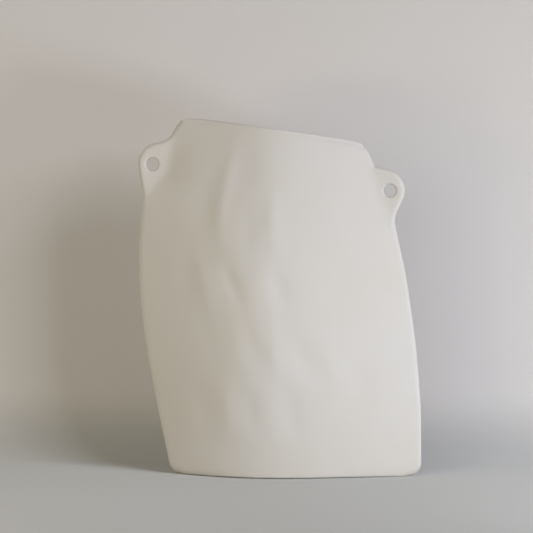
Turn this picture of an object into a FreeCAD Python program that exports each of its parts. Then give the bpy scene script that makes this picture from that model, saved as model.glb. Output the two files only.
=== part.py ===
import FreeCAD, Part

import math
import os

from FreeCAD import Vector

# A pillow vase, built by hand from two slabs of clay that are pinched together along their side edges,
# a lens-shaped base slab set up between them, and a pierced lug let into each side seam at the shoulder.
# +X runs to the right, the front faces -Y, +Z is up. The origin is the middle of the foot, on the ground.

# Driving dimensions, in millimetres unless the words say otherwise
SIZES = [
    ("left_rim_height", 279.0, "ground to the top of the lip at the left end of the mouth"),
    ("right_rim_height", 259.8, "ground to the top of the lip at the right end of the mouth, which slants"),
    ("rim_bow", 1.2, "how far the rim rises over a straight line between its two ends"),
    ("rim_bow_reach", 60.0, "how far down from the lip that bow is felt"),
    ("left_reach", 123.2, "middle of the foot to the widest place of the left seam"),
    ("right_reach", 98.4, "middle of the foot to the widest place of the right seam"),
    ("foot_half_depth", 26.0, "seam plane to the middle of the front at the foot"),
    ("belly_half_depth", 39.0, "seam plane to the fullest place of the front"),
    ("mouth_half_depth", 22.0, "seam plane to the middle of the front at the lip"),
    ("wall", 6.0, "thickness of the rolled slabs"),
    ("base_thickness", 8.0, "thickness of the base slab"),
    ("seam_width", 9.0, "how far in from the edge the two slabs touch face to face"),
    ("foot_fill_height", 50.0, "how high the seam stays filled out behind the outline's rounded corners"),
    ("seam_edge_radius", 3.0, "rounding of each slab at the side seam"),
    ("left_corner_radius", 8.0, "rounding of the outline at the foot, on the left"),
    ("right_corner_radius", 11.0, "rounding of the outline at the foot, on the right"),
    ("foot_edge_radius", 2.5, "rounding of the wall where it meets the ground"),
    ("press_depth", 1.1, "depth of the deepest mark that the hands pressed into the slabs"),
    ("lug_radius", 16.8, "rounding of the lug's outline"),
    ("lug_thickness", 8.0, "front to back of the flat lug"),
    ("lug_edge_radius", 3.3, "rounding of the lug's outer edge"),
    ("lug_root_depth", 6.0, "how far the lug's root lies inside the seam"),
    ("lug_root_dip", 1.6, "how far inside the seam's edge the lug's outline dives under the slabs"),
    ("lug_top_angle", 14.0, "rise of the lug's top edge towards the neck, degrees"),
    ("hole_radius", 4.9, "radius of the hole through each lug"),
    ("hole_edge_radius", 1.7, "rounding of the hole's edges"),
    ("hole_reach", 8.4, "seam's edge to the middle of the hole, outwards"),
    ("hole_rise", 2.0, "seam's shoulder point to the middle of the hole, upwards"),
    ("hole_offset", 5.2, "middle of the lug's rounding to the middle of the hole"),
    ("left_lug_lower_angle", 10.0, "lean of the left lug's lower edge from upright, degrees"),
    ("right_lug_lower_angle", 25.0, "lean of the right lug's lower edge from upright, degrees"),
    ("left_lug_top_blend", 7.0, "hollow curve between the left lug and the neck"),
    ("right_lug_top_blend", 2.5, "hollow curve between the right lug and the neck"),
    ("left_lug_lower_blend", 16.0, "hollow curve between the left lug and the body"),
    ("right_lug_lower_blend", 18.0, "hollow curve between the right lug and the body"),
]

# The side seams seen from the front: (share of the reach, share of the height), from the foot to the lip.
# Places of like rank on the two sides belong to one section of the body.
LEFT_SEAM_SHARES = [
    (0.794, 0.0),
    (0.832, 0.082),
    (0.878, 0.182),
    (0.925, 0.288),
    (0.966, 0.400),
    (0.991, 0.508),
    (1.000, 0.616),
    (0.988, 0.717),
    (0.966, 0.786),
    (0.909, 0.828),
    (0.842, 0.873),
    (0.825, 0.906),
    (0.800, 0.951),
    (0.766, 0.982),
    (0.735, 1.0),
]
RIGHT_SEAM_SHARES = [
    (1.000, 0.0),
    (0.998, 0.086),
    (0.994, 0.195),
    (0.975, 0.305),
    (0.946, 0.418),
    (0.908, 0.523),
    (0.862, 0.631),
    (0.806, 0.727),
    (0.772, 0.783),
    (0.706, 0.830),
    (0.658, 0.859),
    (0.643, 0.908),
    (0.610, 0.951),
    (0.579, 0.978),
    (0.535, 1.0),
]
# The rank of the seams' shoulder place, where the lugs are let in
SHOULDER_RANK = 10

# The ranks just below and above the lug's place
WAIST_RANK = 8
NECK_RANK = 13

# How round the ridge of a slab is across the vase: the share of the half width over which it turns, above
# the fullest place and at the foot
RIDGE_SHARE = 0.36
FOOT_RIDGE_SHARE = 0.7
# How far the ridge lies to the left of the middle at the foot and at the lip, as shares of the half width
FOOT_SHIFT_SHARE = 0.2
LIP_SHIFT_SHARE = -0.03
# The height of the fullest place, as a share of the body's height
BELLY_HEIGHT_SHARE = 0.42

# Marks of the hands in the front: place across (-1 left seam, 1 right seam), height, half width and half
# length as shares of the half width and the height, lean to the right going down, share of press_depth.
FRONT_PRESS_SHARES = [
    (-0.44, 0.74, 0.13, 0.13, -0.10, 0.9),
    (-0.10, 0.72, 0.12, 0.16, 0.05, 0.8),
    (-0.42, 0.52, 0.11, 0.09, -0.10, 0.7),
    (0.02, 0.52, 0.12, 0.07, 0.10, 0.8),
    (-0.40, 0.33, 0.12, 0.12, 0.25, 1.0),
    (0.02, 0.35, 0.12, 0.08, 0.05, 0.8),
    (0.42, 0.34, 0.12, 0.06, 0.10, 0.6),
    (-0.50, 0.16, 0.12, 0.09, 0.00, 0.8),
    (-0.02, 0.16, 0.11, 0.07, 0.05, 0.7),
    (0.20, 0.20, 0.12, 0.08, 0.05, 0.6),
]
BACK_PRESS_SHARES = [
    (0.36, 0.70, 0.13, 0.14, 0.10, 0.9),
    (-0.12, 0.60, 0.12, 0.12, -0.05, 0.8),
    (0.40, 0.38, 0.12, 0.11, -0.20, 1.0),
    (-0.30, 0.30, 0.12, 0.09, 0.10, 0.7),
    (0.05, 0.18, 0.11, 0.08, 0.05, 0.7),
]

# Net of the slab surfaces: their degree, rows from one rank of the seams to the next, columns along each
# flank, steps round each rounded edge, and the rows by the foot and the lip that are faces of their own
DEGREE = 3
ROWS_PER_RANK = 3
FLANK_COLUMNS = 16
EDGE_STEPS = 4
LIP_STEPS = 3
FOOT_ROWS = 5
LIP_ROWS = 2
# Heights of the net's rows round the foot's corner, as shares of the corner's radius
FOOT_ROW_SHARES = (0.0, 0.014, 0.055, 0.12, 0.23, 0.41, 0.68)

# Halvings in the search for the section through a place, steps of the search for a lug's corner along the
# seam, and straight runs of a lug's root
LEVEL_HALVINGS = 30
SEARCH_STEPS = 200
ROOT_RUNS = 6
# Two places closer together than this are one
TOUCH = 1e-4


def make_sheet(doc):
    """The spreadsheet of driving dimensions: a name, a number with an alias, and what it measures."""
    sheet = doc.addObject("Spreadsheet::Sheet", "Dimensions")
    for row, (name, value, meaning) in enumerate(SIZES, start=1):
        sheet.set(f"A{row}", name)
        sheet.set(f"B{row}", str(value))
        sheet.set(f"C{row}", meaning)
        sheet.setAlias(f"B{row}", name)
    doc.recompute()
    return sheet


def rounded_inset(radius, height):
    """How far a rounded corner of that radius lies inside its sharp corner at a height above the ground."""
    if height >= radius:
        return 0.0
    return radius - math.sqrt(radius**2 - (radius - height) ** 2)


def smoothed(shares):
    """The seam without its notch under the lug: the places between WAIST_RANK and NECK_RANK lie evenly."""
    waist = shares[WAIST_RANK]
    neck = shares[NECK_RANK]
    places = list(shares)
    for rank in range(WAIST_RANK + 1, NECK_RANK):
        share = (rank - WAIST_RANK) / (NECK_RANK - WAIST_RANK)
        places[rank] = (waist[0] + (neck[0] - waist[0]) * share, waist[1] + (neck[1] - waist[1]) * share)
    return places


class Form:
    """The form of the body, worked out from the sheet: the side seams, the depth and the press marks."""

    def __init__(self, sheet):
        self.size = lambda name: float(getattr(sheet, name))
        self.lip_rise = self.size("wall") / 2
        self.left_height = self.size("left_rim_height") - self.lip_rise
        self.right_height = self.size("right_rim_height") - self.lip_rise
        self.mean_height = (self.left_height + self.right_height) / 2
        self.last_rank = len(LEFT_SEAM_SHARES) - 1
        left_reach = -self.size("left_reach")
        right_reach = self.size("right_reach")
        self.seams = (
            self.seam(LEFT_SEAM_SHARES, left_reach, self.left_height),
            self.seam(RIGHT_SEAM_SHARES, right_reach, self.right_height),
        )
        self.flanks = (
            self.seam(smoothed(LEFT_SEAM_SHARES), left_reach, self.left_height),
            self.seam(smoothed(RIGHT_SEAM_SHARES), right_reach, self.right_height),
        )
        self.ranks = self.row_ranks()

    def seam(self, shares, reach, height):
        """A smooth curve in the seam plane whose parameter is the rank of the place."""
        places = [Vector(reach * across, 0, height * up) for across, up in shares]
        curve = Part.BSplineCurve()
        curve.interpolate(Points=places, Parameters=[float(rank) for rank in range(len(places))])
        return curve

    def row_ranks(self):
        """The ranks of the net's rows: close together round the foot's corner, then even."""
        corner = max(self.size("left_corner_radius"), self.size("right_corner_radius"))
        first_height = self.seams[0].value(1).z
        ranks = [share * corner / first_height for share in FOOT_ROW_SHARES]
        start = corner / first_height
        rows = ROWS_PER_RANK * self.last_rank
        ranks += [start + (self.last_rank - start) * row / rows for row in range(rows + 1)]
        return ranks

    def section(self, rank, seams):
        """Middle and half of an outer section, from seam to seam."""
        left = seams[0].value(rank)
        right = seams[1].value(rank)
        left.x += rounded_inset(self.size("left_corner_radius"), left.z)
        right.x -= rounded_inset(self.size("right_corner_radius"), right.z)
        return (left + right) * 0.5, (right - left) * 0.5

    def inner_section(self, rank):
        """The same for the hollow, which ends at the seam's inner side and narrows towards the foot."""
        left = self.seams[0].value(rank)
        right = self.seams[1].value(rank)
        filled = max(0.0, 1 - left.z / self.size("foot_fill_height")) ** 2
        left.x += self.size("seam_width") + filled * self.size("left_corner_radius")
        right.x -= self.size("seam_width") + filled * self.size("right_corner_radius")
        return (left + right) * 0.5, (right - left) * 0.5

    def bowed(self, middle, half, across):
        """A place at a share across a section. Towards the lip the sections bow up in the middle."""
        place = middle + half * across
        below_lip = self.left_height - (middle.z - half.z)
        near_lip = soft_step(1 - below_lip / self.size("rim_bow_reach"))
        place.z += self.size("rim_bow") * near_lip * (1 - across**4)
        return place

    def level(self, place):
        """The rank of the section, from flank to flank, that passes through a place."""
        low = 0.0
        high = float(self.last_rank)
        for _ in range(LEVEL_HALVINGS):
            middle = (low + high) / 2
            left = self.flanks[0].value(middle)
            run = self.flanks[1].value(middle) - left
            offset = place - left
            if run.x * offset.z - run.z * offset.x > 0:
                low = middle
            else:
                high = middle
        return (low + high) / 2

    def half_depth(self, level):
        """Seam plane to the middle of the front: full at the belly, drawn in to foot and mouth."""
        share = self.flanks[0].value(level).z / self.left_height
        belly = self.size("belly_half_depth")
        if share < BELLY_HEIGHT_SHARE:
            drawn = belly - self.size("foot_half_depth")
            turn = 1 - math.sin(math.pi / 2 * share / BELLY_HEIGHT_SHARE)
        else:
            drawn = belly - self.size("mouth_half_depth")
            turn = 1 - math.cos(math.pi / 2 * (share - BELLY_HEIGHT_SHARE) / (1 - BELLY_HEIGHT_SHARE))
        return belly - drawn * turn

    def pressed(self, across, share, marks):
        """Depth of the press marks at a place of the body."""
        depth = 0.0
        for mark_across, mark_up, half_width, half_length, lean, deep in marks:
            along = (share - mark_up) / half_length
            beside = (across - mark_across + lean * (share - mark_up)) / half_width
            depth += deep * math.exp(-(along**2) - beside**2)
        edge = min(1.0, (1 - abs(across)) / RIDGE_SHARE)
        return self.size("press_depth") * depth * edge


def soft_step(share):
    """From 0 to 1 with a soft start and a soft end."""
    share = min(1.0, max(0.0, share))
    return share**2 * (3 - 2 * share)


def crown(across, up):
    """Height of a slab's section, 1 at its ridge and 0 at its edges: flat flanks and a rounded ridge, which
    is rounder towards the foot. It takes the share across and the share of the height."""
    turn = FOOT_RIDGE_SHARE + (RIDGE_SHARE - FOOT_RIDGE_SHARE) * soft_step(up / BELLY_HEIGHT_SHARE)
    shift = FOOT_SHIFT_SHARE + (LIP_SHIFT_SHARE - FOOT_SHIFT_SHARE) * up
    shifted = across + shift * (1 - across**2)
    flat = math.sqrt(1 + turn**2) - turn
    return 1 - (math.sqrt(shifted**2 + turn**2) - turn) / flat


def columns(half_width, edge):
    """Places across a section, from -1 to 1: close together round its rounded edges, then even."""
    side = []
    for step in range(EDGE_STEPS):
        angle = math.pi / 2 * step / EDGE_STEPS
        side.append(1 - edge * (1 - math.cos(angle)) / half_width)
    inner = 1 - edge / half_width
    side += [inner * (1 - column / FLANK_COLUMNS) for column in range(FLANK_COLUMNS)]
    return [-place for place in side] + [0.0] + side[::-1]


def outer_depth(form, across, place, half):
    """Seam plane to the outside of a slab: a rounded edge at the seam, then the flank and the ridge."""
    edge = form.size("seam_edge_radius")
    level = form.level(place)
    flank_middle, flank_half = form.section(level, form.flanks)
    flank_across = (place.x - flank_middle.x) / flank_half.x
    foot = rounded_inset(form.size("foot_edge_radius"), place.z)
    ridge = form.half_depth(level) - edge - foot
    depth = edge + ridge * crown(flank_across, place.z / form.mean_height)
    beyond = min(1.0, (1 - abs(across)) * half.Length / edge)
    return depth * math.sqrt(1 - (1 - beyond) ** 2)


def slab_rows(form, facing, marks, inside):
    """Net rows of a slab's outer or inner surface, from the foot to the start of the lip.
    facing is -1 for the front slab and 1 for the back slab."""
    rows = []
    for rank in form.ranks:
        middle, half = form.inner_section(rank) if inside else form.section(rank, form.seams)
        row = []
        for across in columns(half.Length, form.size("seam_edge_radius")):
            place = form.bowed(middle, half, across)
            if inside:
                ridge = form.half_depth(form.level(place)) - form.size("wall")
                depth = ridge * crown(across, place.z / form.mean_height)
            else:
                depth = outer_depth(form, across, place, half)
            depth -= form.pressed(across, middle.z / form.mean_height, marks)
            row.append(Vector(place.x, facing * depth, place.z))
        rows.append(row)
    return rows


def lip_rows(outer_top, inner_top, rise):
    """Rows that round the lip from the outer and from the inner side; both end on the same crest."""
    outer_side = []
    inner_side = []
    for step in range(1, LIP_STEPS + 1):
        angle = math.pi / 2 * step / LIP_STEPS
        outer_row = []
        inner_row = []
        for outer, inner in zip(outer_top, inner_top):
            middle = (outer + inner) * 0.5
            lift = Vector(0, 0, rise * math.sin(angle))
            outer_row.append(middle + (outer - middle) * math.cos(angle) + lift)
            inner_row.append(middle + (inner - middle) * math.cos(angle) + lift)
        outer_side.append(outer_row)
        inner_side.append(inner_row)
    return outer_side, inner_side


def surface(rows):
    """A smooth cubic surface over a net of points. It passes through the net's corners, and its four
    borders follow the net's border rows alone."""
    directions = []
    for count in (len(rows), len(rows[0])):
        spans = count - DEGREE
        knots = [float(knot) for knot in range(spans + 1)]
        mults = [DEGREE + 1] + [1] * (spans - 1) + [DEGREE + 1]
        directions.append((knots, mults))
    (row_knots, row_mults), (column_knots, column_mults) = directions
    net = Part.BSplineSurface()
    net.buildFromPolesMultsKnots(
        rows, row_mults, column_mults, row_knots, column_knots, False, False, DEGREE, DEGREE
    )
    return net


def net_faces(net, foot_spans, lip_spans, edge_spans):
    """The surface as faces that meet along its knot lines, so that each rounded edge is its own face.
    The three counts say how many spans the faces at the foot, at the lip and at the seams take."""
    row_low, row_high, column_low, column_high = net.bounds()
    rows = sorted({row_low, row_low + foot_spans, row_high - lip_spans, row_high})
    edges = sorted({column_low, column_low + edge_spans, column_high - edge_spans, column_high})
    faces = []
    for row, next_row in zip(rows, rows[1:]):
        for column, next_column in zip(edges, edges[1:]):
            piece = net.copy()
            piece.segment(row, next_row, column, next_column)
            faces.append(piece.toShape())
    return faces


def closed_solid(faces):
    """A solid bounded by faces that meet along their borders."""
    shell = Part.makeShell(faces)
    shell.sewShape()
    solid = Part.makeSolid(shell)
    if solid.Volume < 0:
        solid.reverse()
    return solid


def edges_where(faces, lies_there):
    """The edges of some faces that pass a test."""
    return [edge for face in faces for edge in face.Edges if lies_there(edge)]


def flat_face(edges):
    return Part.Face(Part.Wire(Part.__sortEdges__(edges)))


def middle_of(edge):
    return edge.valueAt((edge.FirstParameter + edge.LastParameter) / 2)


def in_seam_plane(edge):
    return max(abs(vertex.Y) for vertex in edge.Vertexes) < TOUCH and abs(middle_of(edge).y) < TOUCH


def on_ground(edge):
    return max(vertex.Z for vertex in edge.Vertexes) < TOUCH and middle_of(edge).z < TOUCH


def slab_shape(form, facing, marks):
    """One wall of the vase: its outer and inner faces, the mitred seam faces and the foot."""
    outer_rows = slab_rows(form, facing, marks, inside=False)
    inner_rows = slab_rows(form, facing, marks, inside=True)
    outer_lip, inner_lip = lip_rows(outer_rows[-1], inner_rows[-1], form.lip_rise)
    outer = net_faces(surface(outer_rows + outer_lip), FOOT_ROWS, LIP_ROWS, EDGE_STEPS)
    inner = net_faces(surface(inner_rows + inner_lip), 0, LIP_ROWS, 0)
    middle = (outer_rows[0][0].x + outer_rows[0][-1].x) / 2
    foot = edges_where(outer + inner, on_ground)
    seam = edges_where(outer + inner, in_seam_plane)
    lands = [Part.makeLine(outer_rows[0][end], inner_rows[0][end]) for end in (0, -1)]
    left = [edge for edge in seam if middle_of(edge).x < middle]
    right = [edge for edge in seam if middle_of(edge).x > middle]
    caps = [flat_face(left + lands[:1]), flat_face(right + lands[1:]), flat_face(foot + lands)]
    return closed_solid(outer + inner + caps)


def hollow_shape(form):
    """The lower half of the space between the two slabs, in which the base slab stands."""
    half = len(form.ranks) // 2
    front_rows = slab_rows(form, -1, FRONT_PRESS_SHARES, inside=True)
    back_rows = slab_rows(form, 1, BACK_PRESS_SHARES, inside=True)
    front = surface(front_rows[:half])
    back = surface(back_rows[:half])
    row_low, row_high = front.bounds()[:2]
    caps = []
    for row in (row_low, row_high):
        caps.append(flat_face([front.uIso(row).toShape(), back.uIso(row).toShape()]))
    return closed_solid([front.toShape(), back.toShape()] + caps)


def crossing(seam, start, direction, ranks, dip_side):
    """Where a line in the seam plane meets the seam's edge moved inwards: the place and the rank."""
    low, high = ranks
    before = None
    for step in range(SEARCH_STEPS + 1):
        rank = low + (high - low) * step / SEARCH_STEPS
        place = seam.value(rank) + dip_side(rank)
        offset = place - start
        beside = offset.x * direction.z - offset.z * direction.x
        if before is not None and before[0] * beside <= 0:
            share = before[0] / (before[0] - beside)
            return before[1] + (place - before[1]) * share, rank
        before = (beside, place)
    raise ValueError("the lug's edge doesn't reach the side seam")


def blend_arc(corner, towards_lug, towards_seam, radius):
    """The arc that rounds a hollow corner: its start on the lug's side, its middle and its end."""
    bisector = (towards_lug + towards_seam).normalize()
    half_angle = towards_lug.getAngle(towards_seam) / 2
    setback = radius / math.tan(half_angle)
    centre = corner + bisector * (radius / math.sin(half_angle))
    return corner + towards_lug * setback, centre - bisector * radius, corner + towards_seam * setback


class LugOutline:
    """The outline of one lug in the seam plane. Its root follows the side seam inside the slabs."""

    def __init__(self, form, side):
        out = -1 if side == "left" else 1
        size = form.size
        seam = form.seams[0] if side == "left" else form.seams[1]
        shoulder = seam.value(SHOULDER_RANK)
        radius = size("lug_radius")
        self.hole = shoulder + Vector(out * size("hole_reach"), 0, size("hole_rise"))
        self.centre = self.hole - Vector(out * size("hole_offset"), 0, 0)
        top_angle = math.radians(size("lug_top_angle"))
        low_angle = math.radians(size(f"{side}_lug_lower_angle"))
        top_way = Vector(-out * math.cos(top_angle), 0, math.sin(top_angle))
        low_way = Vector(-out * math.sin(low_angle), 0, -math.cos(low_angle))
        self.top_start = self.centre + Vector(out * math.sin(top_angle), 0, math.cos(top_angle)) * radius
        self.low_start = self.centre + Vector(out * math.cos(low_angle), 0, -math.sin(low_angle)) * radius
        self.tip = self.centre + Vector(out * radius, 0, 0)

        def inwards(depth):
            def offset(rank):
                along = seam.tangent(rank)[0]
                return Vector(-out * abs(along.z), 0, out * along.x) * depth

            return offset

        dip = inwards(size("lug_root_dip"))
        top, top_rank = crossing(seam, self.top_start, top_way, (SHOULDER_RANK, form.last_rank), dip)
        low, low_rank = crossing(seam, self.low_start, low_way, (SHOULDER_RANK, 0), dip)
        up_seam = seam.tangent(top_rank)[0]
        down_seam = seam.tangent(low_rank)[0] * -1
        self.top_blend = blend_arc(top, top_way * -1, up_seam, size(f"{side}_lug_top_blend"))
        self.low_blend = blend_arc(low, low_way * -1, down_seam, size(f"{side}_lug_lower_blend"))
        buried = inwards(size("lug_root_depth"))
        root_ranks = [top_rank + (low_rank - top_rank) * run / ROOT_RUNS for run in range(ROOT_RUNS + 1)]
        self.root = [seam.value(rank) + buried(rank) for rank in root_ranks]


def in_sketch(place):
    """A place in the seam plane as a point of a sketch on the XZ plane."""
    return Vector(place.x, place.z, 0)


def origin_plane(body, role):
    return next(item for item in body.Origin.OriginFeatures if item.Role == role)


def new_sketch(body, name):
    sketch = body.newObject("Sketcher::SketchObject", name)
    sketch.AttachmentSupport = [(origin_plane(body, "XZ_Plane"), "")]
    sketch.MapMode = "FlatFace"
    return sketch


def edges_at(shape, places):
    """Names of the edges whose middle lies over or under one of those places of the seam plane."""
    found = []
    for number, edge in enumerate(shape.Edges, start=1):
        middle = middle_of(edge)
        on_face = abs(edge.Vertexes[0].Y - edge.Vertexes[-1].Y) < TOUCH
        if on_face and any(math.hypot(middle.x - p.x, middle.z - p.z) < TOUCH for p in places):
            found.append(f"Edge{number}")
    return found


def make_slab(doc, name, form, facing, marks, lugs):
    """A wall of the vase: a free-form slab, let out along its seams where the lugs' roots lie."""
    slab = doc.addObject("Part::Feature", f"{name}_whole")
    slab.Shape = slab_shape(form, facing, marks)
    slab.Placement = FreeCAD.Placement()
    for lug in lugs:
        last = lug == lugs[-1]
        cut = doc.addObject("Part::Cut", name if last else f"{name}_half_let_out")
        cut.Base = slab
        cut.Tool = lug
        slab = cut
    return slab


def make_base(doc, form):
    """The base slab: a flat sheet of clay trimmed to the inside of the two walls."""
    sheet_of_clay = doc.addObject("Part::Box", "rolled_sheet")
    sheet_of_clay.setExpression("Length", "Dimensions.left_reach + Dimensions.right_reach")
    sheet_of_clay.setExpression("Width", "2 * Dimensions.belly_half_depth")
    sheet_of_clay.setExpression("Height", "Dimensions.base_thickness")
    sheet_of_clay.setExpression("Placement.Base.x", "-Dimensions.left_reach")
    sheet_of_clay.setExpression("Placement.Base.y", "-Dimensions.belly_half_depth")
    hollow = doc.addObject("Part::Feature", "hollow")
    hollow.Shape = hollow_shape(form)
    hollow.Placement = FreeCAD.Placement()
    base = doc.addObject("Part::Common", "base_slab")
    base.Base = sheet_of_clay
    base.Tool = hollow
    return base


def draw_lug(sketch, outline):
    """The closed outline: round end, straight edges, hollow blends, and the root inside the seam."""
    radius_arc = Part.Arc(
        in_sketch(outline.top_start), in_sketch(outline.tip), in_sketch(outline.low_start)
    )
    top_near, top_middle, top_far = outline.top_blend
    low_near, low_middle, low_far = outline.low_blend
    parts = [
        radius_arc,
        Part.LineSegment(in_sketch(outline.low_start), in_sketch(low_near)),
        Part.Arc(in_sketch(low_near), in_sketch(low_middle), in_sketch(low_far)),
    ]
    corners = [low_far] + outline.root[::-1] + [top_far]
    parts += [Part.LineSegment(in_sketch(a), in_sketch(b)) for a, b in zip(corners, corners[1:])]
    parts += [
        Part.Arc(in_sketch(top_far), in_sketch(top_middle), in_sketch(top_near)),
        Part.LineSegment(in_sketch(top_near), in_sketch(outline.top_start)),
    ]
    for part in parts:
        sketch.addGeometry(part, False)
    shown = [outline.tip, low_middle, top_middle]
    shown += [(outline.low_start + low_near) * 0.5, (outline.top_start + top_near) * 0.5]
    return shown


def make_lug(doc, form, side):
    """A flat ear with a rounded edge and a round hole. Its root is let into the side seam."""
    outline = LugOutline(form, side)
    body = doc.addObject("PartDesign::Body", f"{side}_lug")
    profile = new_sketch(body, f"{side}_lug_outline")
    shown = draw_lug(profile, outline)
    pad = body.newObject("PartDesign::Pad", f"{side}_lug_flat")
    pad.Profile = profile
    pad.SideType = "Symmetric"
    pad.setExpression("Length", "Dimensions.lug_thickness")
    doc.recompute()
    rim = body.newObject("PartDesign::Fillet", f"{side}_lug_rim")
    rim.Base = (pad, edges_at(pad.Shape, shown))
    rim.setExpression("Radius", "Dimensions.lug_edge_radius")
    doc.recompute()
    circle = new_sketch(body, f"{side}_hole_outline")
    hole_radius = form.size("hole_radius")
    circle.addGeometry(Part.Circle(in_sketch(outline.hole), Vector(0, 0, 1), hole_radius), False)
    hole = body.newObject("PartDesign::Pocket", f"{side}_lug_hole")
    hole.Profile = circle
    hole.SideType = "Symmetric"
    hole.setExpression("Length", "2 * Dimensions.lug_thickness")
    doc.recompute()
    if hole.Shape.Volume >= rim.Shape.Volume:
        raise ValueError("the hole cuts nothing")
    mouth = body.newObject("PartDesign::Fillet", f"{side}_hole_rim")
    hole_side = outline.hole + Vector(0, 0, hole_radius)
    hole_other = outline.hole - Vector(hole_radius, 0, 0)
    mouth.Base = (hole, edges_at(hole.Shape, [hole_side, hole_other]))
    mouth.setExpression("Radius", "Dimensions.hole_edge_radius")
    doc.recompute()
    return body


def check(doc, parts):
    """Stops where an object failed or a solid isn't sound."""
    for item in doc.Objects:
        if "Invalid" in item.State or "Error" in item.State:
            raise RuntimeError(f"{item.Label} did not compute: {item.State}")
    for part in parts:
        shape = part.Shape
        if shape.isNull() or not shape.isValid() or len(shape.Solids) != 1:
            raise RuntimeError(f"{part.Label} is not one sound solid")


def main():
    doc = FreeCAD.newDocument("pillow_vase")
    form = Form(make_sheet(doc))
    left = make_lug(doc, form, "left")
    right = make_lug(doc, form, "right")
    front = make_slab(doc, "front_slab", form, -1, FRONT_PRESS_SHARES, [left, right])
    back = make_slab(doc, "back_slab", form, 1, BACK_PRESS_SHARES, [left, right])
    base = make_base(doc, form)
    doc.recompute()
    parts = [front, back, base, left, right]
    check(doc, parts)
    os.makedirs("parts", exist_ok=True)
    for part in parts:
        part.Shape.exportStep(os.path.join("parts", f"{part.Label}.step"))
        box = part.Shape.BoundBox
        print(f"{part.Label}: {part.Shape.Volume:.0f} mm3, x {box.XMin:.1f} to {box.XMax:.1f},")
        print(f"  y {box.YMin:.1f} to {box.YMax:.1f}, z {box.ZMin:.1f} to {box.ZMax:.1f}")


main()
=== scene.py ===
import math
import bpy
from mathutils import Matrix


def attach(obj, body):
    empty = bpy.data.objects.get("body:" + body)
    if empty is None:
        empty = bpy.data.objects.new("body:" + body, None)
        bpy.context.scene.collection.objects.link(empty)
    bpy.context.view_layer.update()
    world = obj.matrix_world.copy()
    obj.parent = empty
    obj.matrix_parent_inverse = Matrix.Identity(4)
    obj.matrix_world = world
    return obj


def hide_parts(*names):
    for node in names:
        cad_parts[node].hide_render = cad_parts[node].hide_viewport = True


bl_info = {
    "name": "Pillow Vase",
    "version": (1, 0, 0),
    "blender": (4, 5, 0),
    "location": "3D View > Sidebar > Pillow Vase",
    "description": "A hand-built pillow vase with two pierced lugs, in unglazed white clay",
    "category": "Add Mesh",
}

import bmesh
import bpy
import numpy as np
from bpy.props import FloatProperty, FloatVectorProperty, PointerProperty
from mathutils import Vector, geometry

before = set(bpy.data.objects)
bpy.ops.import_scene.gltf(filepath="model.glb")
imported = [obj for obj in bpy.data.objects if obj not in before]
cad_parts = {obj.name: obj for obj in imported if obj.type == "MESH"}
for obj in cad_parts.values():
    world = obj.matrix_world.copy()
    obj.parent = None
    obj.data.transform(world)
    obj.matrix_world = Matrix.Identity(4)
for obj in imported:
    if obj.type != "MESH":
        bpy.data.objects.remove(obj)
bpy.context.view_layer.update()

MM = 0.001

# The side seams seen from the front, from foot to lip: share of the reach, share of the height.
# Places of like rank on the two sides belong to one section of the body.
LEFT_SEAM_SHARES = [
    (0.794, 0.0),
    (0.832, 0.082),
    (0.878, 0.182),
    (0.925, 0.288),
    (0.966, 0.400),
    (0.991, 0.508),
    (1.000, 0.616),
    (0.988, 0.717),
    (0.966, 0.786),
    (0.909, 0.828),
    (0.842, 0.873),
    (0.825, 0.906),
    (0.800, 0.951),
    (0.766, 0.982),
    (0.735, 1.0),
]
RIGHT_SEAM_SHARES = [
    (1.000, 0.0),
    (0.998, 0.086),
    (0.994, 0.195),
    (0.975, 0.305),
    (0.946, 0.418),
    (0.908, 0.523),
    (0.862, 0.631),
    (0.806, 0.727),
    (0.772, 0.783),
    (0.706, 0.830),
    (0.658, 0.859),
    (0.643, 0.908),
    (0.610, 0.951),
    (0.579, 0.978),
    (0.535, 1.0),
]
# Ranks below, at and above the lugs
WAIST_RANK = 8
SHOULDER_RANK = 10
NECK_RANK = 13
LAST_RANK = len(LEFT_SEAM_SHARES) - 1

# Share of the half width over which a slab turns at its ridge, at mid height and at the foot
RIDGE_SHARE = 0.36
FOOT_RIDGE_SHARE = 0.7
# How far left of the middle the ridge lies at the foot and at the lip, as shares of the half width
FOOT_SHIFT_SHARE = 0.2
LIP_SHIFT_SHARE = -0.03
BELLY_HEIGHT_SHARE = 0.42

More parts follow.
